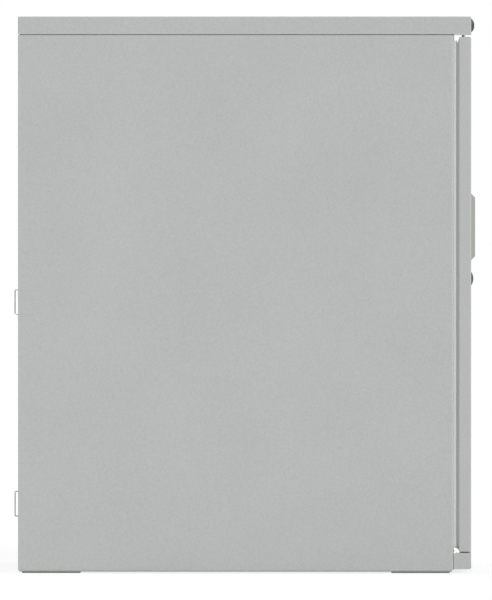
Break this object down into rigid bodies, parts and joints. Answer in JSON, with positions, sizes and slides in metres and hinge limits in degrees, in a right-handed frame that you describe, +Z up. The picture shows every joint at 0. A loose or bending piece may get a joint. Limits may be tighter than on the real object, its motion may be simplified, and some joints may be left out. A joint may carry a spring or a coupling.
{
  "type": "battery box",
  "caption": "Upright sheet-steel battery box with a lift-off lid, hinged front door with recessed pull and cam lock, inner shelf, rear strap loops and rubber feet.",
  "frame": {"origin": "on the floor, below the middle of the box", "axes": "+Z up, the door faces -Y, the hinge is on the +X side"},
  "size_m": [0.4, 0.475, 0.5735],
  "materials": {
    "powder_coat": "light grey powder coat with a very fine stipple on folded steel sheet",
    "zinc_steel": "bright zinc-plated steel",
    "dark_steel": "dark nickel-plated steel",
    "die_cast": "warm grey painted zinc die casting",
    "seal_rubber": "pale grey cellular rubber strip",
    "foot_rubber": "dark grey moulded rubber",
    "nylon": "natural nylon"
  },
  "bodies": {
    "cabinet": {"left_side_panel": "powder_coat", "right_side_panel": "powder_coat", "rear_panel": "powder_coat", "floor_pan": "powder_coat", "top_rail": "powder_coat", "header": "powder_coat", "header_screws": "zinc_steel", "header_nuts": "zinc_steel", "sill": "powder_coat", "sill_screws": "zinc_steel", "sill_nuts": "zinc_steel", "lid": "powder_coat", "lid_screws": "dark_steel", "lid_rivnuts": "zinc_steel", "door_seal": "seal_rubber", "upper_hinge_pin": "zinc_steel", "lower_hinge_pin": "zinc_steel", "strap_loops": "powder_coat", "foot_pads": "foot_rubber", "shelf": "powder_coat", "left_shelf_rail": "powder_coat", "right_shelf_rail": "powder_coat", "shelf_screws": "zinc_steel", "shelf_nuts": "zinc_steel", "earth_stud": "zinc_steel", "earth_washer": "zinc_steel", "earth_nuts": "zinc_steel"},
    "door": {"door_panel": "powder_coat", "door_stiffener": "powder_coat", "upper_hinge_bush": "nylon", "lower_hinge_bush": "nylon", "pull_handle": "die_cast", "handle_nuts": "zinc_steel", "lock_barrel": "dark_steel", "lock_nut": "zinc_steel"},
    "lock": {"lock_plug": "dark_steel", "lock_cam": "zinc_steel", "cam_screw": "zinc_steel"}
  },
  "joints": [
    {"name": "door_hinge", "type": "hinge", "parent": "cabinet", "child": "door", "pos_m": [0.192, -0.2255, 0.2874], "axis": [0, 0, 1], "range_deg": [0, 110]},
    {"name": "lock_turn", "type": "hinge", "parent": "door", "child": "lock", "pos_m": [-0.16, -0.2335, 0.3031], "axis": [0, 1, 0], "range_deg": [0, 90]}
  ]
}
